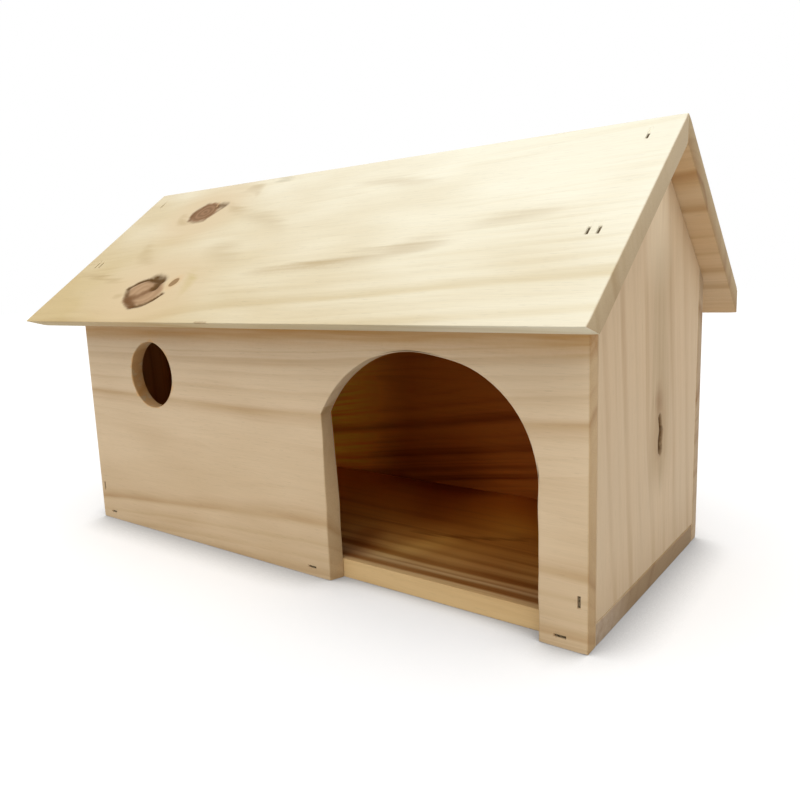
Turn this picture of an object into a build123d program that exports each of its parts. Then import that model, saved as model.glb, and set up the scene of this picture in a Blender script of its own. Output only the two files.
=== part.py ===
from build123d import *
import math
import os

# A small wooden hideout: a pine box with an arched doorway, a round window and a gable roof.
# Seven boards butt against each other and are held by narrow crown staples.
# X runs along the ridge, the doorway faces -Y, Z is up. Lengths are in millimetres.
# The origin lies on the ground under the middle of the overall box.

# House
house_length = 411.0
house_depth = 188.0
apex_height = 260.0
roof_pitch = 37.0
wall_thickness = 9.5
floor_thickness = 12.0

# Roof
roof_thickness = 12.0
roof_board_width = 166.0
gable_overhang = 14.0

# Doorway, hand sawn, open down to the ground, with one post to its right and a head over it
door_width = 139.5
door_head = 31.1
door_post = 26.0
door_crown_share = 0.46
door_left_radius_share = 0.52
door_crown_radius_share = 0.79
door_flank_radius_share = 0.43

# Round window, placed from the left end and the top edge of the front wall
window_diameter = 47.5
window_from_end = 80.5
window_from_top = 54.6

# Staples, narrow crown
staple_crown = 6.0
staple_leg = 22.0
staple_wire_width = 1.2
staple_wire_thickness = 1.0
staple_point = 2.0
staple_bend = 0.9
crown_set = 0.6
roof_staple_from_ridge = 18.0
roof_staple_offset = 2.5
roof_pair_from_ridge = 99.5
roof_pair_spacing = 5.3
corner_staple_from_floor = 14.0
corner_staple_from_top = 14.0
floor_staple_from_end = 14.5

# Cuts run past the faces that they open
overrun = 5.0

# Worked out from the sizes above
pitch = math.radians(roof_pitch)
half_length = house_length / 2
half_depth = house_depth / 2
inner_half_depth = half_depth - wall_thickness
bevel_run = roof_thickness * math.tan(pitch)
roof_drop = roof_thickness / math.cos(pitch)
roof_half_length = half_length + gable_overhang
back_board_width = roof_board_width - bevel_run
front_reach = roof_board_width * math.cos(pitch)
back_reach = back_board_width * math.cos(pitch)
ridge_y = (front_reach - back_reach) / 2
gable_centre = half_length - wall_thickness / 2
front_side = -1
back_side = 1
quarter_turn = 90


def under_roof(y):
    """Height of the roof's underside at a distance y from the ridge line."""
    return apex_height - roof_drop - abs(y) * math.tan(pitch)


wall_height = under_roof(half_depth)
door_height = wall_height - door_head
window_height = wall_height - window_from_top


def on_slope(run, depth, side):
    """Point (y, z) at a run down the slope from the ridge and a depth below its outer face."""
    y = side * (run * math.cos(pitch) - depth * math.sin(pitch))
    z = apex_height - run * math.sin(pitch) - depth * math.cos(pitch)
    return y, z


def board_along_x(outline, start, end):
    """Board whose section is a closed outline of (y, z) points, from one x to another."""
    section = make_face(Polyline(*[(start, y, z) for y, z in outline], close=True))
    return extrude(section, amount=end - start, dir=(1, 0, 0))


# Floor board: lies flat between the long walls and carries both gables

def floor_board():
    outline = [
        (-inner_half_depth, 0),
        (inner_half_depth, 0),
        (inner_half_depth, floor_thickness),
        (-inner_half_depth, floor_thickness),
    ]
    return board_along_x(outline, -half_length, half_length)


# Long walls: stand on the ground in front of and behind the floor and gable edges,
# with the top edge bevelled to the roof's underside

def long_wall(side):
    outline = [
        (side * half_depth, 0),
        (side * inner_half_depth, 0),
        (side * inner_half_depth, under_roof(inner_half_depth)),
        (side * half_depth, wall_height),
    ]
    return board_along_x(outline, -half_length, half_length)


def doorway_outline():
    """Hand-sawn arch: a straight left jamb up to a shoulder, one arc to the crown, then
    a flatter arc and a tighter one that meets the right jamb."""
    right = half_length - door_post
    left = right - door_width
    crown_x = left + door_width * door_crown_share
    left_radius = door_width * door_left_radius_share
    crown_radius = door_width * door_crown_radius_share
    flank_radius = door_width * door_flank_radius_share
    left_sweep = math.asin((crown_x - left) / left_radius)
    crown_sweep = math.asin((right - crown_x - flank_radius) / (crown_radius - flank_radius))
    flank_x = right - flank_radius
    flank_z = door_height - crown_radius + (crown_radius - flank_radius) * math.cos(crown_sweep)
    shoulder_z = door_height - left_radius * (1 - math.cos(left_sweep))
    left_centre = (crown_x, door_height - left_radius)
    left_arc = CenterArc(left_centre, left_radius, quarter_turn, math.degrees(left_sweep))
    crown_centre = (crown_x, door_height - crown_radius)
    crown_arc = CenterArc(crown_centre, crown_radius, quarter_turn, -math.degrees(crown_sweep))
    flank_sweep = quarter_turn - math.degrees(crown_sweep)
    flank_arc = CenterArc((flank_x, flank_z), flank_radius, 0, flank_sweep)
    jambs = Polyline((left, shoulder_z), (left, -overrun), (right, -overrun), (right, flank_z))
    return make_face(left_arc + crown_arc + flank_arc + jambs)


def window_outline():
    return Pos(window_from_end - half_length, window_height) * Circle(window_diameter / 2)


def through_front(outline):
    """Cutter with an outline drawn in x and height, right through the front wall."""
    before_wall = Plane(origin=(0, -half_depth - overrun, 0), x_dir=(1, 0, 0), z_dir=(0, -1, 0))
    return extrude(before_wall * outline, amount=-wall_thickness - 2 * overrun)


def front_wall():
    return long_wall(front_side) - through_front(doorway_outline()) - through_front(window_outline())


def back_wall():
    return long_wall(back_side)


# Gables: five-sided boards that stand on the floor between the long walls

def gable(end):
    outline = [
        (-inner_half_depth, floor_thickness),
        (inner_half_depth, floor_thickness),
        (inner_half_depth, under_roof(inner_half_depth)),
        (0, under_roof(0)),
        (-inner_half_depth, under_roof(inner_half_depth)),
    ]
    start, stop = sorted((end * (half_length - wall_thickness), end * half_length))
    return board_along_x(outline, start, stop)


# Roof boards: both from stock of one width and mitred plumb at the ridge. The front one was
# turned over for its second bevel, so its eave runs back under; the back one ends plumb.

def front_roof_board():
    outline = [
        on_slope(0, 0, front_side),
        on_slope(roof_board_width, 0, front_side),
        on_slope(roof_board_width - bevel_run, roof_thickness, front_side),
        on_slope(bevel_run, roof_thickness, front_side),
    ]
    return board_along_x(outline, -roof_half_length, roof_half_length)


def back_roof_board():
    outline = [
        on_slope(0, 0, back_side),
        on_slope(back_board_width, 0, back_side),
        on_slope(back_board_width + bevel_run, roof_thickness, back_side),
        on_slope(bevel_run, roof_thickness, back_side),
    ]
    return board_along_x(outline, -roof_half_length, roof_half_length)


# Staples: flat wire bent square, with chisel points, driven just below the surface

def staple():
    """One staple with its crown along X, a little below the surface Z = 0, and legs down."""
    half_crown = staple_crown / 2
    top = -crown_set
    tip = top - staple_leg
    outline = Polyline(
        (-half_crown, 0, top),
        (half_crown, 0, top),
        (half_crown, 0, tip),
        (half_crown - staple_wire_thickness, 0, tip + staple_point),
        (half_crown - staple_wire_thickness, 0, top - staple_wire_thickness),
        (staple_wire_thickness - half_crown, 0, top - staple_wire_thickness),
        (staple_wire_thickness - half_crown, 0, tip + staple_point),
        (-half_crown, 0, tip),
        close=True,
    )
    wire = extrude(make_face(outline), amount=staple_wire_width / 2, dir=(0, 1, 0), both=True)
    bends = wire.edges().filter_by(Axis.Y).group_by(Axis.Z)[-1]
    return fillet(bends, staple_bend)


def staple_cavity():
    """The staple's own space and the groove that its crown leaves above it."""
    groove_height = crown_set + staple_bend + overrun
    groove = Box(
        staple_crown, staple_wire_width, groove_height, align=(Align.CENTER, Align.CENTER, Align.MIN)
    )
    return staple() + Pos(0, 0, -crown_set - staple_bend) * groove


def wall_places(side, points, crown):
    """Places on the outer face of a long wall, crown along the given direction."""
    return [
        Plane(origin=(x, side * half_depth, z), x_dir=crown, z_dir=(0, side, 0))
        for x, z in points
    ]


def corner_places(side):
    """Upright crowns through a long wall into the edges of both gables."""
    heights = (floor_thickness + corner_staple_from_floor, wall_height - corner_staple_from_top)
    points = [(end * gable_centre, z) for end in (-1, 1) for z in heights]
    return wall_places(side, points, (0, 0, 1))


def floor_places(side, spots):
    """Level crowns through a long wall into the edge of the floor board."""
    points = [(x, floor_thickness / 2) for x in spots]
    return wall_places(side, points, (1, 0, 0))


def roof_places(side):
    """Crowns along the slope into both gables: one near the ridge and a pair lower down.
    Near the ridge the front staples stand outwards and the back ones inwards, so that their
    legs pass each other."""
    spots = [
        (-side * roof_staple_offset, roof_staple_from_ridge),
        (-roof_pair_spacing / 2, roof_pair_from_ridge),
        (roof_pair_spacing / 2, roof_pair_from_ridge),
    ]
    down = (0, side * math.cos(pitch), -math.sin(pitch))
    outward = (0, side * math.sin(pitch), math.cos(pitch))
    places = []
    for end in (-1, 1):
        for offset, run in spots:
            y, z = on_slope(run, 0, side)
            origin = (end * (gable_centre + offset), y, z)
            places.append(Plane(origin=origin, x_dir=down, z_dir=outward))
    return places


end_spot = half_length - floor_staple_from_end
beside_door = half_length - door_post - door_width - floor_staple_from_end
front_floor_spots = (-end_spot, beside_door, end_spot)
back_floor_spots = (-end_spot, -end_spot / 3, end_spot / 3, end_spot)

staple_groups = {
    "front_corner_staples": corner_places(front_side),
    "front_floor_staples": floor_places(front_side, front_floor_spots),
    "back_corner_staples": corner_places(back_side),
    "back_floor_staples": floor_places(back_side, back_floor_spots),
    "front_roof_staples": roof_places(front_side),
    "back_roof_staples": roof_places(back_side),
}

boards = {
    "floor_board": floor_board(),
    "front_wall": front_wall(),
    "back_wall": back_wall(),
    "left_gable": gable(-1),
    "right_gable": gable(1),
    "front_roof_board": front_roof_board(),
    "back_roof_board": back_roof_board(),
}

# Which boards each group of staples goes through
staple_paths = {
    "front_corner_staples": ("front_wall", "left_gable", "right_gable"),
    "front_floor_staples": ("front_wall", "floor_board"),
    "back_corner_staples": ("back_wall", "left_gable", "right_gable"),
    "back_floor_staples": ("back_wall", "floor_board"),
    "front_roof_staples": ("front_roof_board", "left_gable", "right_gable"),
    "back_roof_staples": ("back_roof_board", "left_gable", "right_gable"),
}

for group, board_names in staple_paths.items():
    for name in board_names:
        boards[name] = boards[name] - [place * staple_cavity() for place in staple_groups[group]]

# Move the ridge so that the origin lies under the middle of the overall box, then write the files
os.makedirs("parts", exist_ok=True)
to_frame = Pos(0, ridge_y, 0)
for name, board in boards.items():
    export_step(to_frame * board, f"parts/{name}.step")
for group, places in staple_groups.items():
    staples = [to_frame * place.location * staple() for place in places]
    export_step(Compound(children=staples), f"parts/{group}.step")
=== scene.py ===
import math

import bpy
import numpy as np
from mathutils import Matrix, Vector


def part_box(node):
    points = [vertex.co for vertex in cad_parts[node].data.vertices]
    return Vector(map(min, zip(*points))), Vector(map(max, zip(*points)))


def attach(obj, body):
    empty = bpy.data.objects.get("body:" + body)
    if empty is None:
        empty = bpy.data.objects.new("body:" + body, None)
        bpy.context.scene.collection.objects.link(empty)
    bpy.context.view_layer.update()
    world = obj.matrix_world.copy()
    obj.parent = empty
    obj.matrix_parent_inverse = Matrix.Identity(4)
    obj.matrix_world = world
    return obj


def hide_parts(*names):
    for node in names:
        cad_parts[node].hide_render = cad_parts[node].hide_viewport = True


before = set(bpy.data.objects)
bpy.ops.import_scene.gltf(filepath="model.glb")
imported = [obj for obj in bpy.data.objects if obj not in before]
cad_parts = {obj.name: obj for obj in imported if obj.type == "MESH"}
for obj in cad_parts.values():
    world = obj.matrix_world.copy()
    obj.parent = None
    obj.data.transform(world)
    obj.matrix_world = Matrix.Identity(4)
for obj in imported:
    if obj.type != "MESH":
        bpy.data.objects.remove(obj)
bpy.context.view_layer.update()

# The house is built from the ground up: floor board, gables, long walls, roof boards, staples.
# Shapes are in metres, and mm turns a maker's millimetres into them. What lies on a board's face
# (rings, strokes, knots, pockets, shades) is placed in that board's own millimetres.
mm = 0.001


# FLOOR BOARD
# A planed pine board that lies flat on the ground between the long walls and carries both gables.
# Its front edge shows in the doorway, its sawn end under the right gable. Stapled through the walls.

into_scene = bpy.context.scene.collection.objects.link
floor_low, floor_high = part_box("floor_board")
house_end = floor_high.x
ridge_y = (floor_low.y + floor_high.y) / 2
wall_thickness = 9.5 * mm
cabin_half_length = house_end - wall_thickness
cabin_half_depth = floor_high.y - ridge_y
floor_top = floor_high.z
pitch = math.radians(37)
roof_thickness = 12 * mm
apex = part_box("front_roof_board")[1].z
# gap between boards that touch, enough to show as a thin dark line
hairline = 0.2 * mm
# distances between grid lines, from plain boards to small shapes
plain_step, board_step, close_step, closest_step = 8 * mm, 6 * mm, 5 * mm, 4 * mm
# points along an eased arris, and the angle from which an edge is shaded sharp
arris_points, sharp_edge = 5, math.radians(12)
# a corner of an outline is square when its sides' directions have a product below the first number,
# and is then set in by this share of the arris
square_corner, corner_ease = 0.3, 0.3
# walls count as inside from just under the floor's top, and the cabin's painted light is weakest at this
# depth
floor_joint, near_enough, light_reach = floor_top - 2 * mm, 0.1 * mm, 150 * mm


def under_roof(y):
    """Height of the roof's underside over a place y."""
    return apex - roof_thickness / math.cos(pitch) - np.abs(y - ridge_y) * math.tan(pitch)


def lines(start, end, step, marks=()):
    """Rising values from start to end, about a step apart, which also hold every mark between them."""
    stops = np.unique(np.round([start, end, *(mark for mark in marks if start < mark < end)], 6))
    runs = [np.linspace(a, b, max(1, round((b - a) / step)) + 1)[:-1] for a, b in zip(stops, stops[1:])]
    return np.concatenate([*runs, stops[-1:]])


def sheet(across, along, place):
    """Points of one face of a board: a function of two lengths, the place in metres of each pair."""
    u, v = np.broadcast_arrays(across, along)
    return np.stack(place(u, v), axis=-1).astype(float)


def plate(name, face, back, wood=None, arris=0.8 * mm, grain=(1, 0, 0), sanded=0.3):
    """Closed board between two sheets of points on one grid of rows and columns.
    Cells where wood is False are open. A rim joins the sheets round the outline and each opening,
    and both its arrises are eased: a quadratic curve leaves the face one arris short of the corner,
    heads for the corner and ends one arris down the rim. sanded is the share of a sawn end's looks
    that the rim keeps away from the first and last column, for all columns or for each."""
    rows, columns = face.shape[:2]
    wood = np.ones((rows - 1, columns - 1), bool) if wood is None else wood
    index = np.arange(rows * columns).reshape(rows, columns)
    corners = [index[:-1, :-1], index[:-1, 1:], index[1:, 1:], index[1:, :-1]]
    cells = np.stack([c[wood] for c in corners], axis=1)
    around = np.pad(wood, 1)
    gaps = [around[:-2, 1:-1], around[1:-1, 2:], around[2:, 1:-1], around[1:-1, :-2]]
    starts = np.concatenate([corners[i][wood & ~gaps[i]] for i in range(4)])
    ends = np.concatenate([corners[(i + 1) % 4][wood & ~gaps[i]] for i in range(4)])
    after = dict(zip(starts, ends))
    before = dict(zip(ends, starts))
    rim_next = np.array([after[s] for s in starts])
    rim_last = np.array([before[s] for s in starts])
    face, back = face.reshape(-1, 3).copy(), back.reshape(-1, 3).copy()
    first = cells[0]
    upward = np.cross(face[first[1]] - face[first[0]], face[first[3]] - face[first[0]])
    upward /= np.linalg.norm(upward)

    def outward(points):
        """Mitred direction out of the board at each rim point, in the plane of the sheet."""
        sides = []
        for a, b in ((rim_last, starts), (starts, rim_next)):
            side = np.cross(points[b] - points[a], upward)
            sides.append(side / np.linalg.norm(side, axis=1, keepdims=True))
        turn = (sides[0] * sides[1]).sum(1, keepdims=True)
        return (sides[0] + sides[1]) / (1 + turn), turn

    out_face, turn = outward(face)
    out_back = outward(back)[0]
    corner = np.where(turn < square_corner, corner_ease * arris, 0)
    rim_face = face[starts] - out_face * corner
    rim_back = back[starts] - out_back * corner
    down = rim_back - rim_face
    down /= np.linalg.norm(down, axis=1, keepdims=True)
    loops = []
    for corner_points, leave, enter in ((rim_face, -out_face, down), (rim_back, -down, -out_back)):
        for t in np.linspace(0, 1, arris_points):
            from_point, to_point = corner_points + leave * arris, corner_points + enter * arris
            loops.append((1 - t) ** 2 * from_point + 2 * t * (1 - t) * corner_points + t**2 * to_point)
    face[starts], back[starts] = loops[0], loops[-1]
    count, ring = rows * columns, len(starts)
    slot_of = np.zeros(count, int)
    slot_of[starts] = np.arange(ring)
    between = [2 * count + i * ring + np.arange(ring) for i in range(len(loops) - 2)]
    ids = [starts, *between, starts + count]
    beside = slot_of[rim_next]
    rims = [np.stack([low[beside], low, high, high[beside]], axis=1) for low, high in zip(ids, ids[1:])]
    points = np.concatenate([face, back, *loops[1:-1]])
    quads = np.concatenate([cells, cells[:, ::-1] + count, *rims])
    used, quads = np.unique(quads, return_inverse=True)
    quads = quads.reshape(-1, 4)
    mesh = bpy.data.meshes.new(name)
    mesh.from_pydata(points[used], [], quads)
    mesh.update()
    # how far each face of the rim looks along the grain, which is how much of the sawn end it shows
    rim = points[np.concatenate(rims)]
    looks = np.cross(rim[:, 2] - rim[:, 0], rim[:, 3] - rim[:, 1])
    looks /= np.linalg.norm(looks, axis=1, keepdims=True)
    column = starts % columns
    at_end = (column == 0) | (column == columns - 1)
    share = np.where(at_end, 1, np.broadcast_to(sanded, columns)[column])
    cut = np.zeros(len(quads), np.float32)
    cut[2 * len(cells) :] = np.abs(looks @ np.array(grain, float)) * np.tile(share, len(rims))
    mesh.attributes.new("end_grain", "FLOAT", "FACE").data.foreach_set("value", cut)
    # 0 outside, and inside the cabin from 0 at the front to 1 far from the doorway: how much painted shade
    # the wood gets
    x, y, z = points[used].T
    inside = np.abs(x) < cabin_half_length + near_enough
    inside = inside & (np.abs(y - ridge_y) < cabin_half_depth + near_enough)
    inside = inside & (z > floor_joint - 1 * mm) & (z < under_roof(y) + near_enough)
    from_door = np.clip((y - ridge_y + cabin_half_depth) / light_reach, 0, 1)
    depth = (inside * from_door).astype(np.float32)
    mesh.attributes.new("inside", "FLOAT", "POINT").data.foreach_set("value", depth)
    mesh.shade_smooth()
    mesh.set_sharp_from_angle(angle=sharp_edge)
    board = bpy.data.objects.new(name, mesh)
    into_scene(board)
    return board


def fit_board(board, node, material):
    """The board stands for its CAD solid, rides on the one body and is made of pine."""
    board.data.materials.append(material)
    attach(board, "root")
    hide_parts(node)


def linear(colour):
    """sRGB hex to linear light."""
    parts = [int(colour[i : i + 2], 16) / 255 for i in (1, 3, 5)]
    return [p / 12.92 if p <= 0.04045 else ((p + 0.055) / 1.055) ** 2.4 for p in parts] + [1]


def feed(tree, node, inputs):
    """Sets a node's inputs, each to a value, an output, or the first output in use of another node."""
    for socket, value in inputs.items():
        if isinstance(value, bpy.types.Node):
            value = next(output for output in value.outputs if output.enabled)
        if isinstance(value, bpy.types.NodeSocket):
            tree.links.new(value, node.inputs[socket])
        else:
            node.inputs[socket].default_value = value


def add(tree, kind, inputs, operation=None, **settings):
    """Adds a shader node with its operation, if it has one, its settings and its inputs."""
    node = tree.nodes.new("ShaderNode" + kind)
    if operation:
        node.operation = operation
    for key, value in settings.items():
        setattr(node, key, value)
    feed(tree, node, inputs)
    return node


smooth, in_colour = {"interpolation_type": "SMOOTHSTEP"}, {"data_type": "RGBA"}


def near_stroke(tree, place, stroke):
    """Share of a stroke, from 1 on its line to 0 at its edge. The line goes from one place on the board
    to another, bowed sideways, and a tapered stroke gets narrower and fainter towards both."""
    start = Vector(stroke["line"][:2])
    run = Vector(stroke["line"][2:]) - start
    way = run.normalized()
    away = add(tree, "VectorMath", {0: place, 1: (*start, 0)}, "SUBTRACT")
    along = add(tree, "VectorMath", {0: away, 1: (*(way / run.length), 0)}, "DOT_PRODUCT")
    across = add(tree, "VectorMath", {0: away, 1: (-way.y, way.x, 0)}, "DOT_PRODUCT")
    # a hump, 0 at both ends and 1 halfway: four times what the share has over its square
    share = add(tree, "Clamp", {0: along})
    hump = add(tree, "Math", {0: share, 1: share}, "MULTIPLY")
    hump = add(tree, "Math", {0: share, 1: hump}, "SUBTRACT")
    hump = add(tree, "Math", {0: hump, 1: 4}, "MULTIPLY")
    across = add(tree, "Math", {0: hump, 1: -stroke.get("bow", 0), 2: across}, "MULTIPLY_ADD")
    past = add(tree, "Math", {0: along, 1: share}, "SUBTRACT")
    past = add(tree, "Math", {0: past, 1: run.length}, "MULTIPLY")
    gap = add(tree, "CombineXYZ", {0: across, 1: past})
    gap = add(tree, "VectorMath", {0: gap}, "LENGTH")
    # a taper takes its whole share of the strength at the ends, and half that share of the width
    half, taper, soft = stroke["width"] / 2, stroke.get("taper", 0), stroke.get("soft", 1)
    half_at_end = half * (1 - taper / 2)
    half = add(tree, "Math", {0: hump, 1: half - half_at_end, 2: half_at_end}, "MULTIPLY_ADD")
    gap = add(tree, "Math", {0: gap, 1: half}, "DIVIDE")
    near = add(tree, "MapRange", {0: gap, 1: 1 - soft, 2: 1 + soft, 3: 1, 4: 0}, **smooth)
    strength = add(tree, "Math", {0: hump, 1: taper, 2: 1.0 - taper}, "MULTIPLY_ADD")
    return add(tree, "Math", {0: near, 1: strength}, "MULTIPLY")


def year_rings(tree, radius, rings):
    """Late wood of the rings that cross the board: each darkens outwards over its width and then ends
    sharply. A ring is its radius about the pith, its strength and its width."""
    rim = 1.05 * max(ring[0] for ring in rings)
    share = add(tree, "Math", {0: radius, 1: 1 / rim}, "MULTIPLY")
    ramp = add(tree, "ValToRGB", {0: share})
    ramp.color_ramp.interpolation = "EASE"
    stops = ramp.color_ramp.elements
    stops[0].color = stops[1].color = (0, 0, 0, 1)
    for reach, strength, width in rings:
        for at, grey in ((reach - width, 0), (reach, strength), (reach + width * 0.5, 0)):
            stops.new(at / rim).color = (grey, grey, grey, 1)
    return ramp


# Pine's figure: how long and how wide each pattern is, in millimetres, and how rough its noise is
patches, blushes = (120, 28, 1.0), (75, 34, 1.0)
strands, fibres = (90, 4, 2.0), (26, 0.625, 2.0)
resin_canals, open_pores = (7, 5 / 12, 0.0), (5, 5 / 11, 2.0)


def drawn_out(tree, place, long, wide, detail):
    """Noise of a real length and width in millimetres, drawn out along the grain."""
    place = add(tree, "VectorMath", {0: place, 1: (1 / long, 1 / wide, 1 / wide)}, "MULTIPLY")
    return add(tree, "TexNoise", {"Vector": place, "Scale": 1, "Detail": detail})


def strayed(tree, place, swing, pattern, scale, detail):
    """The place, moved by noise of a pattern place: by up to half the swing each way."""
    stray = add(tree, "TexNoise", {"Vector": pattern, "Scale": scale, "Detail": detail}).outputs["Color"]
    stray = add(tree, "VectorMath", {0: stray, 1: (0.5, 0.5, 0.5)}, "SUBTRACT")
    stray = add(tree, "VectorMath", {0: stray, 1: swing}, "MULTIPLY")
    return add(tree, "VectorMath", {0: place, 1: stray}, "ADD")


# Size of the waves that the log grew in, along and across it, and how far the small ones swing
long_waves, small_waves, small_swing = (150, 40, 40), (40, 9, 9), 1.5
# Knots bend the grain out to about twice their own size, and have close rings of their own
knot_reach, knot_rings = 2.1, 19.0


def bent_grain(tree, place, knots, seed, wander):
    """The place as the fibres run: bent out round each knot, and wandering as the log grew, in long
    waves with small ones on top."""
    grain = place
    for knot in knots:
        away = add(tree, "VectorMath", {0: place, 1: (*knot["place"], 0)}, "SUBTRACT")
        reach = [1 / (knot_reach * size) for size in knot["size"]] + [0]
        near = add(tree, "VectorMath", {0: away, 1: reach}, "MULTIPLY")
        square = add(tree, "VectorMath", {0: near, 1: near}, "DOT_PRODUCT")
        square = add(tree, "Math", {0: square, 1: -1}, "MULTIPLY")
        fall = add(tree, "Math", {0: math.e, 1: square}, "POWER")
        bend = add(tree, "VectorMath", {0: away, 1: (0, knot["bend"], 0)}, "MULTIPLY")
        bend = add(tree, "VectorMath", {0: bend, "Scale": fall}, "SCALE")
        grain = add(tree, "VectorMath", {0: grain, 1: bend}, "SUBTRACT")
    for reach, swing in ((long_waves, wander), (small_waves, small_swing)):
        wave = add(tree, "VectorMath", {0: grain, 1: [1 / r for r in reach]}, "MULTIPLY")
        wave = add(tree, "VectorMath", {0: wave, 1: (seed, seed * 0.7, 0)}, "ADD")
        grain = strayed(tree, grain, (0, swing, swing), wave, 1.0, 1.0)
    return grain


def from_pith(tree, grain, pith):
    """Distance of each place in the wood from the log's pith, which drifts and bows along the board."""
    parts = add(tree, "SeparateXYZ", {0: grain})
    sides = []
    for axis, centre, drift, bow in (("Y", pith[0], pith[2], 0), ("Z", pith[1], pith[3], pith[4])):
        drift = add(tree, "Math", {0: parts.outputs["X"], 1: bow, 2: drift}, "MULTIPLY_ADD")
        line = add(tree, "Math", {0: parts.outputs["X"], 1: drift, 2: centre}, "MULTIPLY_ADD")
        sides.append(add(tree, "Math", {0: parts.outputs[axis], 1: line}, "SUBTRACT"))
    radius = add(tree, "CombineXYZ", {0: sides[0], 1: sides[1]})
    return add(tree, "VectorMath", {0: radius}, "LENGTH")


def late_wood(tree, place, radius, rings, fine):
    """Share of late wood. Strong rings fade in and out along the board, with faint ones between them,
    fine millimetres apart."""
    patch = drawn_out(tree, place, *patches)
    strong = add(tree, "MapRange", {0: patch, 1: 0.3, 2: 0.65, 3: 0.5, 4: 1})
    strong = add(tree, "Math", {0: year_rings(tree, radius, rings), 1: strong}, "MULTIPLY")
    faint = add(tree, "Math", {0: radius, 1: 1 / fine}, "MULTIPLY")
    uneven = add(tree, "TexNoise", {"W": faint, "Scale": 0.8, "Detail": 0}, noise_dimensions="1D")
    faint = add(tree, "Math", {0: uneven, 1: 0.8, 2: faint}, "MULTIPLY_ADD")
    faint = add(tree, "Math", {0: faint}, "FRACT")
    faint = add(tree, "MapRange", {0: faint, 1: 0.35, 2: 0.9, 3: 0, 4: 1}, **smooth)
    thin = add(tree, "MapRange", {0: patch, 1: 0.42, 2: 0.7, 3: 0.02, 4: 0.2})
    return add(tree, "Math", {0: faint, 1: thin, 2: strong}, "MULTIPLY_ADD")


def with_knots(tree, wood, place, knots):
    """The wood's colour with its knots, whose outline is rough: tanner wood round them, and their own
    brown wood with close rings."""
    for knot in knots:
        away = add(tree, "VectorMath", {0: place, 1: (*knot["place"], 0)}, "SUBTRACT")
        away = strayed(tree, away, [0.35 * min(knot["size"])] * 3, away, 0.14, 2.0)
        away = add(tree, "VectorRotate", {"Vector": away, "Angle": -math.radians(knot["tilt"])},
                   rotation_type="Z_AXIS")
        inverse = [1 / size for size in knot["size"]] + [0]
        near = add(tree, "VectorMath", {0: away, 1: inverse}, "MULTIPLY")
        reach = add(tree, "VectorMath", {0: near}, "LENGTH")
        glow = {0: reach, 1: 1, 2: knot["halo_reach"], 3: knot["glow"], 4: 0}
        glow = add(tree, "MapRange", glow, **smooth)
        wood = add(tree, "Mix", {0: glow, 6: wood, 7: linear(knot["halo"])}, **in_colour)
        body = add(tree, "MapRange", {0: reach, 1: 0.85, 2: 1.1, 3: knot["fill"], 4: 0}, **smooth)
        flesh = add(tree, "Math", {0: reach, 1: knot_rings}, "MULTIPLY")
        flesh = add(tree, "Math", {0: flesh}, "SINE")
        flesh = add(tree, "MapRange", {0: flesh, 1: -1, 2: 1})
        pale, dark = linear(knot["wood"]), linear(knot["wood_dark"])
        flesh = add(tree, "Mix", {0: flesh, 6: pale, 7: dark}, **in_colour)
        wood = add(tree, "Mix", {0: body, 6: wood, 7: flesh}, **in_colour)
    return wood


# Powers by which green and blue fade faster than red where the cabin's painted light is dim, and the
# share of each that is left far from the doorway
green_fade, blue_fade = (1.6, 0.4), (1.9, 0.045)


def painted_cabin_light(tree, place, within, inside_light, shades):
    """Colour of the cabin's painted light, which stands for light by way of other boards: dimmer and
    browner, most so far from the door. A shade is a stroke of painted shade or light that dims or brightens
    it."""
    axis, start, stop, first, last = inside_light
    light = add(tree, "TexCoord", {}).outputs["Object"]
    light = add(tree, "SeparateXYZ", {0: light}).outputs[axis]
    light = add(tree, "MapRange", {0: light, 1: start * mm, 2: stop * mm, 3: first, 4: last}, **smooth)
    for shade in shades:
        near = add(tree, "MapRange", {0: near_stroke(tree, place, shade), 3: 1, 4: shade["light"]})
        light = add(tree, "Math", {0: light, 1: near}, "MULTIPLY")
    deep = add(tree, "MapRange", {0: within, 1: 0.1, 2: 0.95})
    deep = add(tree, "Math", {0: deep, 1: 0.7}, "POWER")
    channels = {0: light}
    for channel, (power, left) in ((1, green_fade), (2, blue_fade)):
        dimmed = add(tree, "Math", {0: light, 1: power}, "POWER")
        browned = add(tree, "Math", {0: left, 1: deep}, "POWER")
        channels[channel] = add(tree, "Math", {0: dimmed, 1: browned}, "MULTIPLY")
    return add(tree, "CombineXYZ", channels)


early_roughness, late_roughness, grain_relief = 0.66, 0.52, 0.06 * mm


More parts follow.
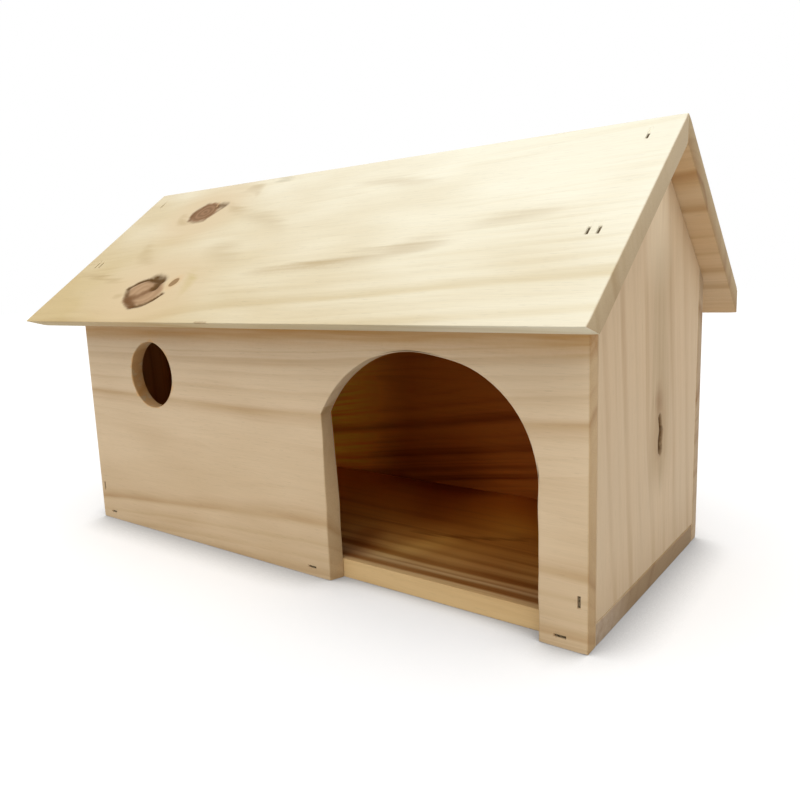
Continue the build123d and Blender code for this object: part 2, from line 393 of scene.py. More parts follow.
def pine(name, along, across, origin, pith, rings, fine, heart, sap, late, seed,
         sap_way=(0, 0, 0), sap_start=0.5, knots=(), strokes=(), shades=(),
         inside_light=("Z", 15, 120, 0.6, 0.75), end="#E4DDCF", wander=5.0):
    """Planed radiata pine, not coated: matt and pale, with wide soft rings whose late wood is a
    warmer tan, hair-fine fibres and short resin canals. The rings are cylinders round the log's pith,
    a line beside or behind the board, so faces show streaks and sawn ends show arcs.
    The board's own frame runs along the grain, across the face and down into the board, in millimetres.
    pith is its place across and below the face, how far each drifts per millimetre along, and the bow
    of its depth. sap_way is how fast heartwood turns to sapwood each way. inside_light is an axis,
    two places on it in millimetres, and the share of light painted into the cabin's wood at each."""
    material = bpy.data.materials.new(name)
    material.use_nodes = True
    tree = material.node_tree
    turn = Matrix((along, across, Vector(along).cross(Vector(across))))
    place = add(tree, "Mapping", {
        "Vector": add(tree, "TexCoord", {}).outputs["Object"],
        "Location": turn @ Vector(origin) * -1000,
        "Rotation": turn.to_euler("XYZ"),
        "Scale": (1000, 1000, 1000),
    })
    grain = bent_grain(tree, place, knots, seed, wander)
    late_share = late_wood(tree, place, from_pith(tree, grain, pith), rings, fine)
    # strands are soft and a few millimetres wide, fibres are hair lines half a millimetre apart
    strand = drawn_out(tree, grain, *strands)
    strand = add(tree, "Math", {0: strand, 1: 0.5}, "SUBTRACT")
    late_share = add(tree, "Math", {0: strand, 1: 0.3, 2: late_share}, "MULTIPLY_ADD", use_clamp=True)
    fibre = drawn_out(tree, grain, *fibres)
    # resin canals: short dashes a quarter of a millimetre wide
    canal = drawn_out(tree, grain, *resin_canals)
    canal = add(tree, "MapRange", {0: canal, 1: 0.7, 2: 0.78, 3: 0, 4: 0.3})
    # early wood goes from heartwood to sapwood over the board, with slow blushes of a warmer tone
    tone = add(tree, "VectorMath", {0: place, 1: sap_way}, "DOT_PRODUCT")
    tone = add(tree, "Math", {0: tone, 1: sap_start}, "ADD")
    blush = drawn_out(tree, grain, *blushes)
    blush = add(tree, "Math", {0: blush, 1: 0.5}, "SUBTRACT")
    tone = add(tree, "Math", {0: blush, 1: 0.6, 2: tone}, "MULTIPLY_ADD", use_clamp=True)
    wood = add(tree, "Mix", {0: tone, 6: linear(heart), 7: linear(sap)}, **in_colour)
    stain = add(tree, "Mix", {0: late_share, 6: (1, 1, 1, 1), 7: linear(late)}, **in_colour)
    wood = add(tree, "VectorMath", {0: wood, 1: stain}, "MULTIPLY")
    value = add(tree, "MapRange", {0: fibre, 1: 0.25, 2: 0.75, 3: 0.965, 4: 1.035})
    darker = add(tree, "Math", {0: canal, 1: 0.3}, "MULTIPLY")
    value = add(tree, "Math", {0: value, 1: darker}, "SUBTRACT")
    wood = add(tree, "VectorMath", {0: wood, "Scale": value}, "SCALE")
    wood = with_knots(tree, wood, place, knots)
    # strokes of bark, resin and cracks have a ragged edge, and tapered ones fray along the strands
    ragged = strayed(tree, place, (1.8, 1.8, 0), place, 0.5, 2.0)
    feather = add(tree, "VectorMath", {0: (0, 14, 0), "Scale": strand}, "SCALE")
    feather = add(tree, "VectorMath", {0: ragged, 1: feather}, "ADD")
    broken = add(tree, "Math", {0: strand, 1: 1.5, 2: 1}, "MULTIPLY_ADD")
    for stroke in strokes:
        near = near_stroke(tree, feather if stroke.get("taper") else ragged, stroke)
        mark = add(tree, "Math", {0: near, 1: stroke["dark"]}, "MULTIPLY")
        mark = add(tree, "Math", {0: mark, 1: broken}, "MULTIPLY", use_clamp=True)
        wood = add(tree, "Mix", {0: mark, 6: wood, 7: linear(stroke["colour"])}, **in_colour)
    # sawn ends are darker and furry
    ends = add(tree, "Attribute", {}, attribute_name="end_grain").outputs["Fac"]
    pores = drawn_out(tree, place, *open_pores)
    pores = add(tree, "MapRange", {0: pores, 1: 0.3, 2: 0.7, 3: 0.9, 4: 1.08})
    ended = add(tree, "VectorMath", {0: wood, 1: linear(end)[:3]}, "MULTIPLY")
    ended = add(tree, "VectorMath", {0: ended, "Scale": pores}, "SCALE")
    wood = add(tree, "Mix", {0: ends, 6: wood, 7: ended}, **in_colour)
    # indoors the wood's colour takes the cabin's painted light and shade, its late wood more so
    within = add(tree, "Attribute", {}, attribute_name="inside").outputs["Fac"]
    painted_indoor_shade = painted_cabin_light(tree, place, within, inside_light, shades)
    painted_indoor_shade = add(tree, "VectorMath", {0: wood, 1: painted_indoor_shade}, "MULTIPLY")
    painted_indoor_shade = add(tree, "VectorMath", {0: painted_indoor_shade, 1: stain}, "MULTIPLY")
    indoors = add(tree, "MapRange", {0: within, 1: 0, 2: 0.03})
    wood = add(tree, "Mix", {0: indoors, 6: wood, 7: painted_indoor_shade}, **in_colour)
    # late wood is denser and a little smoother; bark, knots and the cabin's inside, dark with painted
    # shade, are dull
    roughness = add(tree, "MapRange", {0: late_share, 3: early_roughness, 4: late_roughness})
    gloss = add(tree, "MapRange", {0: wood, 1: 0.08, 2: 0.4, 3: 0.08, 4: 0.5})
    # planed fibres stand a few hundredths proud, resin canals are open and sawn ends are furry
    relief = add(tree, "Math", {0: fibre, 1: 0.6, 2: late_share}, "MULTIPLY_ADD")
    relief = add(tree, "Math", {0: relief, 1: canal}, "SUBTRACT")
    furry = add(tree, "Math", {0: ends, 1: pores}, "MULTIPLY")
    relief = add(tree, "Math", {0: furry, 1: 2, 2: relief}, "MULTIPLY_ADD")
    bump = add(tree, "Bump", {"Strength": 0.5, "Distance": grain_relief, "Height": relief})
    feed(tree, tree.nodes["Principled BSDF"], {
        "Base Color": wood, "Roughness": roughness, "Specular IOR Level": gloss, "Normal": bump})
    return material


floor_x = lines(-house_end, house_end, plain_step)
floor_y = lines(floor_low.y + hairline, floor_high.y - hairline, plain_step)[:, None]
floor_board = plate(
    "planed_floor_board",
    sheet(floor_x, floor_y, lambda u, v: (u, v, np.full_like(u, floor_top))),
    sheet(floor_x, floor_y, lambda u, v: (u, v, np.zeros_like(u))),
)
# painted shade, dark far in the middle and beside the left jamb, and painted light, brighter where the
# doorway's light lands
floor_shades = [
    dict(line=(-25, 92, 28, 88), width=44, light=0.56),
    dict(line=(10, 70, 46, 10), width=34, light=0.75),
    dict(line=(72, 72, 110, 18), width=36, light=1.5),
    dict(line=(28, -40, 40, -74), width=18, light=0.7),
    dict(line=(66, -58, 78, -28), width=20, light=1.25),
    dict(line=(126, -48, 165, -70), width=30, light=0.85),
]
# a dark line across the doorway's floor, painted as a shadow's edge, and a paler stretch of the right sawn
# end
floor_strokes = [
    dict(line=(52, -23, 126, 4), bow=-4, width=5, dark=0.6, colour="#8A6238", taper=0.5),
    dict(line=(205.5, -110, 205.5, -40), width=14, dark=0.65, colour="#F6DDB2", taper=0.8),
]
fit_board(floor_board, "floor_board", pine(
    "pine_planed_floor", (1, 0, 0), (0, 1, 0), (0, ridge_y, floor_top),
    pith=(60, -60, 0, 0.02, 0),
    rings=[(80, 0.3, 6), (98, 0.25, 5), (110, 0.25, 5), (121.5, 0.5, 5), (134.7, 0.85, 9), (141.4, 0.3, 3),
           (149.2, 0.95, 7), (157, 0.4, 5)],
    fine=4.5, heart="#CCA974", sap="#D5B682", late="#CFB48C", seed=3.1, end="#B1AEB7",
    # painted light inside the cabin, brighter towards the left end
    inside_light=("X", -60, 40, 1.1, 0.87), strokes=floor_strokes, shades=floor_shades))


# GABLES
# Two five-sided pine boards with upright grain, which stand on the floor board between the long walls.
# Their sloping edges carry the roof. Stapled through the walls and the roof boards.

# A pressed stroke keeps its full depth on this share of its half width. Staples sit in pockets that
# their crowns pressed, with a depth and the width of their steep sides. A pocket is its place along
# and across a board and half its length and width.
flat_share = 0.3
pocket_depth, pocket_side = 1.2, 0.3


def pressed(along, across, strokes=(), pockets=()):
    """Depth of a board's face, in millimetres, below a place on it. It is a stroke's depth on the
    stroke's bowed line and eases out to its edge, and a pocket's depth within its four steep sides."""
    depth = 0.0 * (along + across)
    for stroke in strokes:
        if "depth" not in stroke:
            continue
        a, b, c, d = stroke["line"]
        length = math.hypot(c - a, d - b)
        share = ((along - a) * (c - a) + (across - b) * (d - b)) / length**2
        inner = np.clip(share, 0, 1)
        side = ((across - b) * (c - a) - (along - a) * (d - b)) / length
        side = side - stroke.get("bow", 0) * 4 * inner * (1 - inner)
        gap = np.hypot(side, (share - inner) * length) / (0.5 * stroke["width"])
        near = np.clip(1 + flat_share - gap, 0, 1)
        depth = np.maximum(depth, stroke["depth"] * near**2 * (3 - 2 * near))
    for a, b, half_along, half_across in pockets:
        near = np.minimum(half_along - np.abs(along - a), half_across - np.abs(across - b)) / pocket_side
        depth = np.maximum(depth, pocket_depth * np.clip(near, 0, 1))
    return depth


# a gable's own millimetres count from this height, and its edges stay this far from the walls
gable_origin, gable_gap = 120 * mm, 0.5 * mm


def gable(name, side, strokes):
    """Upright columns across the house, each from the floor board to the roof's underside.
    Rows are shares of a column's height. Rows and columns are closest round the slit."""
    edge = cabin_half_depth - gable_gap
    y = lines(ridge_y - edge, ridge_y + edge, closest_step, [ridge_y])
    up = lines(0, 1, 0.03)
    if strokes:
        y = np.union1d(y, lines(ridge_y + 3 * mm, ridge_y + 17 * mm, 0.6 * mm))
        up = np.union1d(up, lines(0.26, 0.42, 0.0035))
    z = floor_top + 2 * hairline + (under_roof(y) - floor_top - 3 * hairline) * up[:, None]
    outer, inner = side * house_end, side * cabin_half_length
    across = y[::side]
    height = z[:, ::side]

    def outside(u, v):
        depth = pressed((v - gable_origin) / mm, (u - ridge_y) / mm, strokes)
        return outer - side * mm * depth, u, v

    return plate(
        name,
        sheet(across, height, outside),
        sheet(across, height, lambda u, v: (np.full_like(u, inner), u, v)),
        grain=(0, 0, 1),
    )


# a broad stain down the middle of the board, the slit in two parts, whose near-black brown is
# partly painted shade inside the crack, and the darker wood at its ends
slit = dict(dark=1.1, soft=0.7)
gable_slit = [
    dict(line=(60, 5.5, -40, 10.5), width=34, dark=0.36, colour="#8F7448"),
    dict(slit, line=(-22, 9, -32, 11.2), bow=-0.4, width=4.4, colour="#4E2E08", depth=1.6),
    dict(slit, line=(-31, 11.6, -40.5, 10.8), bow=0.9, width=6.2, colour="#472A08", depth=2.2),
    dict(line=(-5, 5.5, -19, 6.5), width=11, dark=0.55, colour="#8A6640", taper=0.6),
    dict(line=(-44, 11.3, -66, 12.8), width=7, dark=0.2, colour="#857048", taper=0.6),
]
slit_knot = dict(place=(-29, 8), size=(17, 9), tilt=8, bend=0.5, halo="#B0906A", halo_reach=2.2, glow=0.3,
                 wood="#B39370", wood_dark="#AD8C68", fill=0.35)
# painted shade makes the foot browner, and painted light makes the wood under the apex paler, in the roof's
# shade
gable_painted_shade_and_light = [
    dict(line=(-112, -95, -112, 95), width=40, dark=0.25, colour="#A58458"),
    dict(line=(75, 0, 125, 0), width=34, dark=0.5, colour="#F4DFBD"),
]
fit_board(gable("right_gable_board", 1, gable_slit), "right_gable", pine(
    "pine_right_gable", (0, 0, 1), (0, 1, 0), (house_end, ridge_y, gable_origin),
    pith=(95, 25, -0.13, 0, 0),
    rings=[(44, 0.5, 8), (57, 0.12, 5), (70.6, 0.55, 9), (90, 0.15, 6), (110, 0.4, 7), (128, 0.2, 6),
           (146, 0.65, 8), (158, 0.2, 5), (171.4, 0.55, 7)],
    # sap_way pales the board upwards: partly sapwood, partly painted light under the roof's overhang
    fine=5.2, heart="#C7AF8E", sap="#CDB08A", late="#DCCBB2", seed=7.7, sap_way=(0.0045, 0, 0),
    strokes=gable_painted_shade_and_light + gable_slit, wander=6.0, knots=[slit_knot]))
fit_board(gable("left_gable_board", -1, []), "left_gable", pine(
    "pine_left_gable", (0, 0, 1), (0, -1, 0), (-house_end, ridge_y, gable_origin),
    pith=(-40, 34, 0.06, 0.03, 0),
    rings=[(35, 0.4, 5), (49, 0.6, 6), (58, 0.25, 5), (73, 0.5, 7), (88, 0.3, 5), (101, 0.6, 7),
           (118, 0.4, 5), (133, 0.6, 6)],
    fine=4.1, heart="#C3AE8D", sap="#D3B892", late="#D9C7AC", seed=4.3, sap_way=(0.003, 0, 0), wander=3.0))


# FRONT WALL
# One wide pine board with level grain. The doorway was sawn by hand from its lower edge, with a
# shoulder at the left and a long arc; the window was bored. Stapled to the floor and gable edges.

wall_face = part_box("front_wall")[0].y
wall_back = wall_face + wall_thickness
wall_top = under_roof(wall_face)
door_left, door_right = 40 * mm, 179.5 * mm
door_crown = Vector((104.17 * mm, 143 * mm))
window_x, window_z, window_radius = -125 * mm, 119.5 * mm, 23.75 * mm
# the window's sides are upright this far over and under its middle; how far the hand saw strayed
window_side, saw_wave = 0.75 * mm, 0.15 * mm


def doorway(count):
    """Points of the arch from the left shoulder to the right jamb: three arcs that meet in line.
    Each arc's points stand at even angles about its own centre, and the hand saw's waves are added."""
    width = door_right - door_left
    left, crown, flank = 0.52 * width, 0.79 * width, 0.43 * width
    left_turn = math.asin((door_crown.x - door_left) / left)
    crown_turn = math.asin((door_right - door_crown.x - flank) / (crown - flank))
    flank_z = door_crown.y - crown + (crown - flank) * math.cos(crown_turn)
    a = np.linspace(-left_turn, 0, count, endpoint=False)
    b = np.linspace(0, crown_turn, count, endpoint=False)
    c = np.linspace(crown_turn, math.pi / 2, count)
    arcs = [
        (door_crown.x + left * np.sin(a), door_crown.y - left + left * np.cos(a)),
        (door_crown.x + crown * np.sin(b), door_crown.y - crown + crown * np.cos(b)),
        (door_right - flank + flank * np.sin(c), flank_z + flank * np.cos(c)),
    ]
    x, z = np.concatenate(arcs, axis=1)
    return x, z + saw_wave * np.sin(x / (5.3 * mm)) * np.sin(math.pi * (x - door_left) / width)


arch_x, arch_z = doorway(16)
window_start = math.asin(window_side / window_radius)
around_window = np.linspace(window_start, math.pi - window_start, 33)
hole_x = window_x - window_radius * np.cos(around_window)
hole_rise = window_radius * np.sin(around_window)

# Pockets are a little longer and wider than the wire. Staples stand over the middle of a gable's
# edge, near the foot and under the eave, and over the middle of the floor board's edge
crown_half, wire_half = 3.3, 0.9
gable_middle, corner_heights, floor_middle = 200.75, (26.0, 160.1), 6.0


def pocket_lines(pockets, way):
    """Grid lines for the four sides of each pocket, which slope a little, along or across the board."""
    return [
        (pocket[way] + end * (pocket[way + 2] - inset)) * mm
        for pocket in pockets
        for end in (-1, 1)
        for inset in (0, pocket_side)
    ]


def wall_pockets(level_places):
    """Upright pockets near both ends of a long wall, and level ones along its foot."""
    upright = [(end * gable_middle, z, wire_half, crown_half) for end in (-1, 1) for z in corner_heights]
    return upright + [(x, floor_middle, crown_half, wire_half) for x in level_places]


front_pockets = wall_pockets([-191, 25.5, 191])
across_pockets = pocket_lines(front_pockets, 0)
wall_x = np.unique(np.round(np.concatenate([
    lines(-house_end, hole_x[0], board_step, across_pockets),
    hole_x,
    lines(hole_x[-1], door_left, board_step, across_pockets),
    arch_x,
    lines(door_right, house_end, closest_step, across_pockets),
]), 6))
# Rows are level up to the first height and from the second one on. Between them they follow key
# heights: the arch's spring, and two that pass under and over the window and both over the doorway
steady, high_keys = 32 * mm, 146 * mm
sliver = 0.01 * mm
arch = np.interp(wall_x, arch_x, arch_z)
rise = np.interp(wall_x, hole_x, hole_rise, left=window_side, right=window_side)
in_door = (wall_x > door_left - sliver) & (wall_x < door_right + sliver)
under_window, over_window = window_z - rise, window_z + rise
spring_share = (arch_z[0] - steady) / (window_z - window_side - steady)
shoulder = steady + (under_window - steady) * spring_share
spring = np.where(wall_x >= door_right - sliver, arch_z[-1], np.where(in_door, arch, shoulder))
lower_key = np.where(in_door, arch + (high_keys - arch) * 0.4, under_window)
upper_key = np.where(in_door, arch + (high_keys - arch) * 0.6, over_window)
# rows under the spring, from there to the window, over the window's height, and on to the top rows
key_rows = [10, 3, 1, 2]

up_pockets = pocket_lines(front_pockets, 1)
low_rows = lines(0, steady, close_step, [*up_pockets, floor_joint])
high_rows = (lines(high_keys, wall_top, board_step, up_pockets) - high_keys) / (wall_top - high_keys)


def wall_rows(top):
    """Heights of every row in each column: level rows at the foot, even steps between key heights,
    which pass under and over the window and over the doorway, and rows at fixed shares up to the top."""
    level = 0 * wall_x
    keys = [steady + level, spring, lower_key, upper_key, high_keys + level]
    between = zip(keys, keys[1:], key_rows)
    rows = [low + (high - low) * np.arange(n)[:, None] / n for low, high, n in between]
    foot = low_rows[:-1, None] + level
    head = high_keys + (top - high_keys) * high_rows[:, None] + level
    return np.concatenate([foot, *rows, head])


rows_outside, rows_inside = wall_rows(wall_top), wall_rows(under_roof(wall_back))
under_arch = len(low_rows) - 1 + key_rows[0]
window_row = under_arch + key_rows[1]
wood = np.ones((len(rows_outside) - 1, len(wall_x) - 1), bool)
middle = (wall_x[:-1] + wall_x[1:]) / 2
wood[:under_arch, (middle > door_left) & (middle < door_right)] = False
wood[window_row, (middle > hole_x[0]) & (middle < hole_x[-1])] = False


def saw_drift(u, v):
    """How far the hand saw strayed sideways at the jambs: two slow waves up the cut, which fade out
    along the board."""
    near = np.exp(-np.minimum(np.abs(u - door_left), np.abs(u - door_right)) / (5 * mm))
    slow, quick = np.sin(v / (6.1 * mm)), np.sin(v / (3.7 * mm) + u / (40 * mm))
    return near * (saw_wave * slow + 0.1 * mm * quick)


def saw_lean(u, v):
    """The saw wasn't held square at the left jamb, so the cut's back edge leans into the doorway:
    nothing at the shoulder, most at the foot, and fading out along the board."""
    lean = np.interp(v, [0, 60 * mm, 100 * mm], [3.4 * mm, 2.6 * mm, 0])
    return lean * np.clip(1 - (door_left - u) / (30 * mm), 0, 1) * (u < door_left + 1 * mm)


def wall_outside(u, v):
    return u + saw_drift(u, v), wall_face + mm * pressed(u / mm, v / mm, pockets=front_pockets), v


def wall_inside(u, v):
    return u + saw_drift(u, v) + saw_lean(u, v), np.full_like(u, wall_back), v


# the window's rim is as it was bored, the jambs as they were sawn, and the arch was sanded smooth
in_arch = (wall_x > door_left + mm) & (wall_x < door_right - mm)
front_wall = plate(
    "sawn_front_wall",
    sheet(wall_x, rows_outside, wall_outside),
    sheet(wall_x, rows_inside, wall_inside),
    wood,
    sanded=np.where(wall_x < 0, 1.0, np.where(in_arch, 0.15, 0.75)),
)
# painted shade under the eave, a darker and yellower band, and the bit browned the window's rim
painted_eave_shade = dict(line=(-212, 153.5, 212, 153.5), width=15, dark=0.62, colour="#B47E22")
browned_rim = dict(place=(-125, 119.5), size=(23.9, 23.9), tilt=0, bend=0, halo="#DDA65F", halo_reach=1.04,
                   glow=0.5, wood="#DDA65F", wood_dark="#DDA65F", fill=0.0)
fit_board(front_wall, "front_wall", pine(
    "pine_front_wall", (1, 0, 0), (0, 0, 1), (0, wall_face, 0),
    pith=(68.3, -39.5, 0.036, -0.018, 0.00017),
    rings=[(52, 0.72, 6), (61.5, 0.4, 3), (70, 0.2, 4), (78, 0.65, 7), (82, 0.4, 2.5), (92, 0.5, 6)],
    fine=5.6, heart="#C4A983", sap="#DFC7A5", late="#DDCDB4", seed=1.3, wander=3.0, end="#DDD1BB",
    # sap_way darkens the board towards its foot, partly as painted shade near the ground, and a little
    # towards its left end
    sap_way=(0.0004, 0.0056, 0), sap_start=0.04, strokes=[painted_eave_shade], knots=[browned_rim]))


# BACK WALL
# A wide pine board like the front wall's, with level grain and no openings. Its inside shows through
# the doorway. Stapled to the back edges of the floor board and both gables.

back_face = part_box("back_wall")[1].y
back_inside = back_face - wall_thickness
back_pockets = wall_pockets([-191, -63.67, 63.67, 191])
back_x = lines(-house_end, house_end, plain_step, pocket_lines(back_pockets, 0))[::-1]
back_top = under_roof(back_face)
back_z = lines(0, back_top, plain_step, [*pocket_lines(back_pockets, 1), floor_joint])[:, None]
bevel_rise = under_roof(back_inside) - back_top


def back_wall_outside(u, v):
    return u, back_face - mm * pressed(u / mm, v / mm, pockets=back_pockets), v


def back_wall_inside(u, v):
    """The inner face is taller by the bevel's rise, which its upper third takes up."""
    return u, np.full_like(u, back_inside), v + bevel_rise * np.clip(v / back_top * 3 - 2, 0, 1)


back_wall = plate(
    "plain_back_wall",
    sheet(back_x, back_z, back_wall_outside),
    sheet(back_x, back_z, back_wall_inside),
)
fit_board(back_wall, "back_wall", pine(
    "pine_back_wall", (1, 0, 0), (0, 0, 1), (0, back_face, 0),
    pith=(98, 20, 0.14, 0.05, 0),
    rings=[(24, 0.15, 6), (37.5, 0.75, 9), (51, 0.15, 6), (62.4, 0.45, 9), (76, 0.25, 5), (84, 0.5, 6),
           (100, 0.35, 8)],
    fine=4.4, heart="#D8B98C", sap="#E2C89E", late="#C9AE82", seed=5.2, end="#CBC7C9",
    # painted light, brighter at the left where the window's light falls, and painted shade, darker down by
    # the floor
    inside_light=("X", -115, -20, 2.5, 0.85),
    shades=[dict(line=(-28, 18, 18, 18), width=56, light=0.62),
            dict(line=(-120, 8, -40, 8), width=18, light=0.55)]))


# ROOF BOARDS
# Two single pine boards, grain along the ridge, mitred plumb where they meet. They lie on the gables'
# slopes and the walls' bevels, and are stapled down into both gables.

roof_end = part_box("front_roof_board")[1].x
board_width = 166 * mm
bevel = roof_thickness * math.tan(pitch)
# staples near the ridge stand outwards in front and inwards at the back, so that their legs pass
front_ridge_staple, back_ridge_staple = 203.25, 198.25
ridge_run, pair_run, roof_pair = 18, 99.5, (198.1, 203.4)
# where the front board's two pressed knots lie, along the ridge and down the slope
knots_along, knot_runs = (-146 * mm, -74 * mm), ((21 * mm, 54 * mm), (118 * mm, 155 * mm))


def on_slope(run, depth, side):
    """Place across the house at a run down the slope and a depth below the outer face."""
    y = ridge_y + side * (run * math.cos(pitch) - depth * math.sin(pitch))
    z = apex - run * math.sin(pitch) - depth * math.cos(pitch)
    return y, z


def roof_pockets(ridge_place):
    """Upright pockets over both gables: one near the ridge and a pair lower down."""
    spots = [(ridge_place, ridge_run)] + [(place, pair_run) for place in roof_pair]
    return [(end * x, run, wire_half, crown_half) for end in (-1, 1) for x, run in spots]


def roof_board(name, side, width, under_from, under_to, pockets, strokes=()):
    """Rows run along the ridge from the eave up, and the columns down the slope. The underside's
    rows go from under_from to under_to. Rows and columns are closest round pressed knots."""
    along = lines(-roof_end, roof_end, board_step, pocket_lines(pockets, 0))
    run = lines(0, width, close_step, pocket_lines(pockets, 1))
    if strokes:
        along = np.union1d(along, lines(*knots_along, 1 * mm))
        run = np.unique(np.concatenate([run, *(lines(*runs, 1 * mm) for runs in knot_runs)]))
    along = along[:: side * -1]
    run = run[::-1, None]
    under_run = under_from + (under_to - under_from) * run / width
    ridge_gap = hairline * (1 - run / width)

    def outside(u, v):
        return u, *on_slope(v, mm * pressed(u / mm, v / mm, strokes, pockets), side)

    return plate(
        name,
        sheet(along, run + ridge_gap, outside),
        sheet(along, under_run + ridge_gap, lambda u, v: (u, *on_slope(v, roof_thickness, side))),
    )


cut_width = board_width - bevel
back_staples = roof_pockets(back_ridge_staple)
back_roof = roof_board("back_roof_pine", 1, cut_width, bevel, board_width, back_staples)
bark = dict(dark=0.95, colour="#583C18", depth=0.35, soft=0.85)
brown = dict(dark=0.75, colour="#6F4B28", soft=0.9)
streak = dict(dark=0.36, colour="#A98F60", taper=0.9)
roof_strokes = [
    # big knot: its rim in three arcs, a bar across it, and the hole where bark fell out
    dict(bark, line=(-101, 150.5, -126, 131), bow=-3, width=4.4),
    dict(bark, line=(-126, 131, -107, 121.5), bow=-3.3, width=3.6),
    dict(bark, line=(-102, 150.5, -81.5, 138), bow=4, width=3.6),
    dict(brown, line=(-115, 142, -97, 129.5), bow=3, width=6, dark=0.9),
    dict(brown, line=(-114, 141, -103, 149), bow=0.5, width=6, dark=0.9),
    dict(bark, line=(-107, 120, -96.5, 123.5), width=8, depth=1.2, soft=0.9),
    dict(bark, line=(-98, 123, -96, 131), width=6.5, depth=1.0, soft=0.9),
    # knot near the ridge: dark sides, a dark corner and a light split beside it
    dict(brown, line=(-139, 47, -136, 27.5), bow=-5, width=4.5),
    dict(brown, line=(-139, 47.5, -120, 50), bow=2, width=3.5, dark=0.6),
    dict(brown, line=(-119.5, 48, -112, 35), width=3, dark=0.5),
    dict(bark, line=(-118.5, 30.5, -112.5, 31.5), width=6.5, dark=0.85, soft=0.9),
    dict(line=(-123.5, 25, -121.5, 32), width=1.4, dark=0.5, colour="#CBA677", soft=0.7),
    # grain swept round the knots
    dict(streak, line=(-110, 15, -82, 28), bow=-10.5, width=8),
    dict(streak, line=(-158, 38, -133, 54), bow=3.6, width=7, dark=0.45),
    dict(streak, line=(-108, 30, -76, 43), bow=4.2, width=7),
    dict(streak, line=(-79, 6, -57, 6), width=5, colour="#8E8468"),
    dict(streak, line=(-163, 72, -125, 104), bow=6.3, width=10),
    dict(streak, line=(-137, 137.5, -124, 136.5), width=5, dark=0.51),
    dict(streak, line=(-76, 112, -60, 142), bow=-3.6, width=8, colour="#B5A05C"),
    dict(streak, line=(-217, 111.5, -138, 123), bow=-1.5, width=5.5, dark=0.58),
    dict(streak, line=(-84, 86, -34, 107), bow=-2, width=16, dark=0.28),
    # long streaks of late wood
    dict(streak, line=(-88, 45, -14, 76), bow=-4, width=11, dark=0.28),
    dict(streak, line=(-20, 119.5, 76, 110), width=5.5, dark=0.49),
    dict(streak, line=(22, 116, 128, 100), bow=1.5, width=11),
    dict(streak, line=(82, 104, 124, 99.5), width=12, dark=0.32),
    dict(streak, line=(126, 88, 182, 79), width=9, dark=0.26),
    dict(streak, line=(14, 27, 86, 37), bow=-1, width=8, dark=0.26),
    # the brown wood where a chip broke off the edge of the eave
    dict(line=(-21, 166, -12, 166), width=2.4, dark=0.6, colour="#8C6A42", soft=0.9),
]
# the big knot, the one near the ridge and a small one beside the big one
roof_knots = [
    dict(place=(-104, 135.5), size=(21, 14.5), tilt=12, bend=0.75, halo="#CDB48C", halo_reach=4.2, glow=0.7,
         wood="#A8845F", wood_dark="#9A7752", fill=0.92),
    dict(place=(-129, 38), size=(14, 12.5), tilt=10, bend=0.75, halo="#CDB48C", halo_reach=4.6, glow=0.65,
         wood="#8D6847", wood_dark="#795737", fill=0.97),
    dict(place=(-80.5, 125.5), size=(3.6, 4.8), tilt=10, bend=0.2, halo="#CDA877", halo_reach=2.2, glow=0.4,
         wood="#8A683C", wood_dark="#7A5B30", fill=0.85),
]
front_staples = roof_pockets(front_ridge_staple)
front_roof = roof_board("front_roof_pine", -1, board_width, bevel, cut_width, front_staples, roof_strokes)
down_front = (0, -math.cos(pitch), -math.sin(pitch))
down_back = (0, math.cos(pitch), -math.sin(pitch))
fit_board(front_roof, "front_roof_board", pine(
    "pine_front_roof", (1, 0, 0), down_front, (0, ridge_y, apex),
    pith=(-30, 60, -0.09, 0, 0),
    rings=[(165, 0.1, 5), (178, 0.12, 5), (190.5, 0.7, 8), (201, 0.15, 5), (213.8, 0.4, 5)],
    fine=6.5, heart="#C1AA79", sap="#EBE5CF", late="#E4D8BC", seed=2.4, end="#CBB8A1",
    # sap_way pales the board towards its right end, partly wood and partly painted light, and darkens it
    # down the slope and into the board
    sap_way=(0.0019, -0.0032, -0.012), sap_start=0.84, knots=roof_knots, strokes=roof_strokes))
fit_board(back_roof, "back_roof_board", pine(
    "pine_back_roof", (-1, 0, 0), down_back, (0, ridge_y, apex),
    pith=(53, 45, 0.03, 0.02, 0),
    rings=[(33, 0.85, 3.8), (48, 0.2, 5), (62, 0.25, 6), (77, 0.55, 8), (93.5, 0.6, 8)],
    fine=4.6, heart="#CCA675", sap="#E8DCBE", late="#CDB38A", seed=9.6, end="#C3B6A0",
    sap_way=(0, 0, -0.06), sap_start=0.9))


# STAPLES
# Narrow crown staples of flat galvanised wire, driven just below the surface. They are the CAD
# solids themselves with a zinc coat, and their crowns show in the boards' pockets.

# zinc's dull patches, about a millimetre wide, and the driver blade's scuffs, as noise per metre
patch_scale, scuff_scale = 900.0, 3000.0
wire = bpy.data.materials.new("zinc_coated_staple_wire")
wire.use_nodes = True
tree = wire.node_tree
place = add(tree, "TexCoord", {}).outputs["Object"]
patch = add(tree, "TexNoise", {"Vector": place, "Scale": patch_scale, "Detail": 3})
patch = add(tree, "MapRange", {0: patch, 1: 0.35, 2: 0.65})
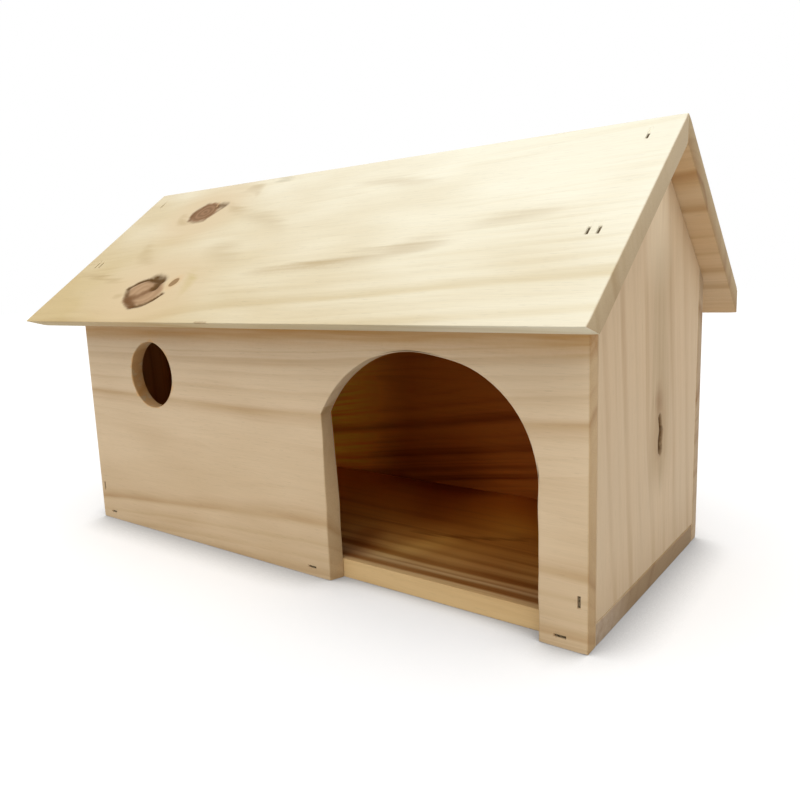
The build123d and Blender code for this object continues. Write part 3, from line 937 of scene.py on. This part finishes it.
# the zinc is darker and browner than bare zinc, partly painted shade of the pockets that the crowns sit in
zinc = add(tree, "Mix", {0: patch, 6: linear("#4E412E"), 7: linear("#7A6C55")}, **in_colour)
dull = add(tree, "MapRange", {0: patch, 3: 0.6, 4: 0.42})
scuff = add(tree, "TexNoise", {"Vector": place, "Scale": scuff_scale, "Detail": 2})
scuff = add(tree, "Bump", {"Strength": 0.4, "Distance": 0.03 * mm, "Height": scuff})
feed(tree, tree.nodes["Principled BSDF"], {
    "Metallic": 1, "Base Color": zinc, "Roughness": dull, "Normal": scuff})
for node_name, node_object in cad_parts.items():
    if node_name.endswith("_staples"):
        node_object.data.materials.clear()
        node_object.data.materials.append(wire)


# STAGE
# White floor and surroundings, plain soft light, and the photograph's camera. What the camera sees
# of the floor and room is near white, and what lights the wood is a plain pale grey.

half_floor = 6
# the floor's grey as it lights the wood, and its paint and glow where the camera sees it
paper_grey, seen_paint, seen_glow = 0.68, 0.72, 0.29
# reach and darkest share of the floor's painted contact shadow
contact_reach, contact_dark = 45 * mm, 0.42
# strength of the room's light at the horizon and straight above
room_low, room_high = 0.64, 0.76
softbox_angle, softbox_energy = math.radians(75), 1.6
softbox_way = Vector((0.22, -0.50, 1.0))


def looked_at(tree):
    """1 where the camera sees something directly, in a reflection or through glass, 0 for its light."""
    ray = add(tree, "LightPath", {}).outputs
    seen = add(tree, "Math", {0: ray["Is Camera Ray"], 1: ray["Is Glossy Ray"]}, "MAXIMUM")
    return add(tree, "Math", {0: seen, 1: ray["Is Transmission Ray"]}, "MAXIMUM")


floor_mesh = bpy.data.meshes.new("studio_floor")
corners = [(x * half_floor, y * half_floor, 0) for x, y in ((-1, -1), (1, -1), (1, 1), (-1, 1))]
floor_mesh.from_pydata(corners, [], [(0, 1, 2, 3)])
studio_floor = bpy.data.objects.new("studio_floor", floor_mesh)
into_scene(studio_floor)
floor_white = bpy.data.materials.new("studio_floor_white")
floor_white.use_nodes = True
tree = floor_white.node_tree
tree.nodes.clear()
paper = add(tree, "BsdfDiffuse", {"Color": (paper_grey, paper_grey, paper_grey, 1)})
# painted contact shadow: the last few centimetres before the walls are darker, as on any matt floor under a
# big soft light
painted_contact_shadow = add(tree, "AmbientOcclusion", {"Distance": contact_reach}, samples=8).outputs["AO"]
painted_contact_shadow = add(tree, "MapRange", {0: painted_contact_shadow, 1: 0.45, 2: 0.85, 3: contact_dark, 4: 1})
paint = add(tree, "Math", {0: painted_contact_shadow, 1: seen_paint}, "MULTIPLY")
glow = add(tree, "Math", {0: painted_contact_shadow, 1: seen_glow}, "MULTIPLY")
paint = add(tree, "BsdfDiffuse", {"Color": paint})
glow = add(tree, "Emission", {"Strength": glow})
paper_seen = add(tree, "AddShader", {0: paint, 1: glow})
paper = add(tree, "MixShader", {0: looked_at(tree), 1: paper, 2: paper_seen})
add(tree, "OutputMaterial", {0: paper})
floor_mesh.materials.append(floor_white)

world = bpy.data.worlds.new("white_room")
world.use_nodes = True
tree = world.node_tree
tree.nodes.clear()
height = add(tree, "TexCoord", {}).outputs["Generated"]
height = add(tree, "SeparateXYZ", {0: height}).outputs["Z"]
room = add(tree, "MapRange", {0: height, 1: 0, 2: 1, 3: room_low, 4: room_high})
room = add(tree, "Background", {"Color": (1, 1, 1, 1), "Strength": room})
white = add(tree, "Background", {"Color": (1, 1, 1, 1), "Strength": 1})
room = add(tree, "MixShader", {0: looked_at(tree), 1: room, 2: white})
add(tree, "OutputWorld", {0: room})
bpy.context.scene.world = world

overhead = bpy.data.lights.new("overhead_softbox", "SUN")
overhead.angle = softbox_angle
overhead.energy = softbox_energy
softbox = bpy.data.objects.new("overhead_softbox", overhead)
softbox.rotation_euler = softbox_way.to_track_quat("Z", "Y").to_euler()
into_scene(softbox)

# fitted to the photograph: place, turn about the upright, look down and roll, in degrees
camera_place = (330.05 * mm, -398.80 * mm, 181.28 * mm)
camera_turn, camera_down, camera_roll = 36.883, 9.482, -2.093
lens = bpy.data.cameras.new("photo_camera")
lens.sensor_width = 36
lens.lens = 32.61
camera = bpy.data.objects.new("photo_camera", lens)
into_scene(camera)
camera.matrix_world = (
    Matrix.Translation(camera_place)
    @ Matrix.Rotation(math.radians(camera_turn), 4, "Z")
    @ Matrix.Rotation(math.radians(90 - camera_down), 4, "X")
    @ Matrix.Rotation(math.radians(camera_roll), 4, "Z")
)
bpy.context.scene.camera = camera
bpy.context.scene.view_settings.view_transform = "Standard"
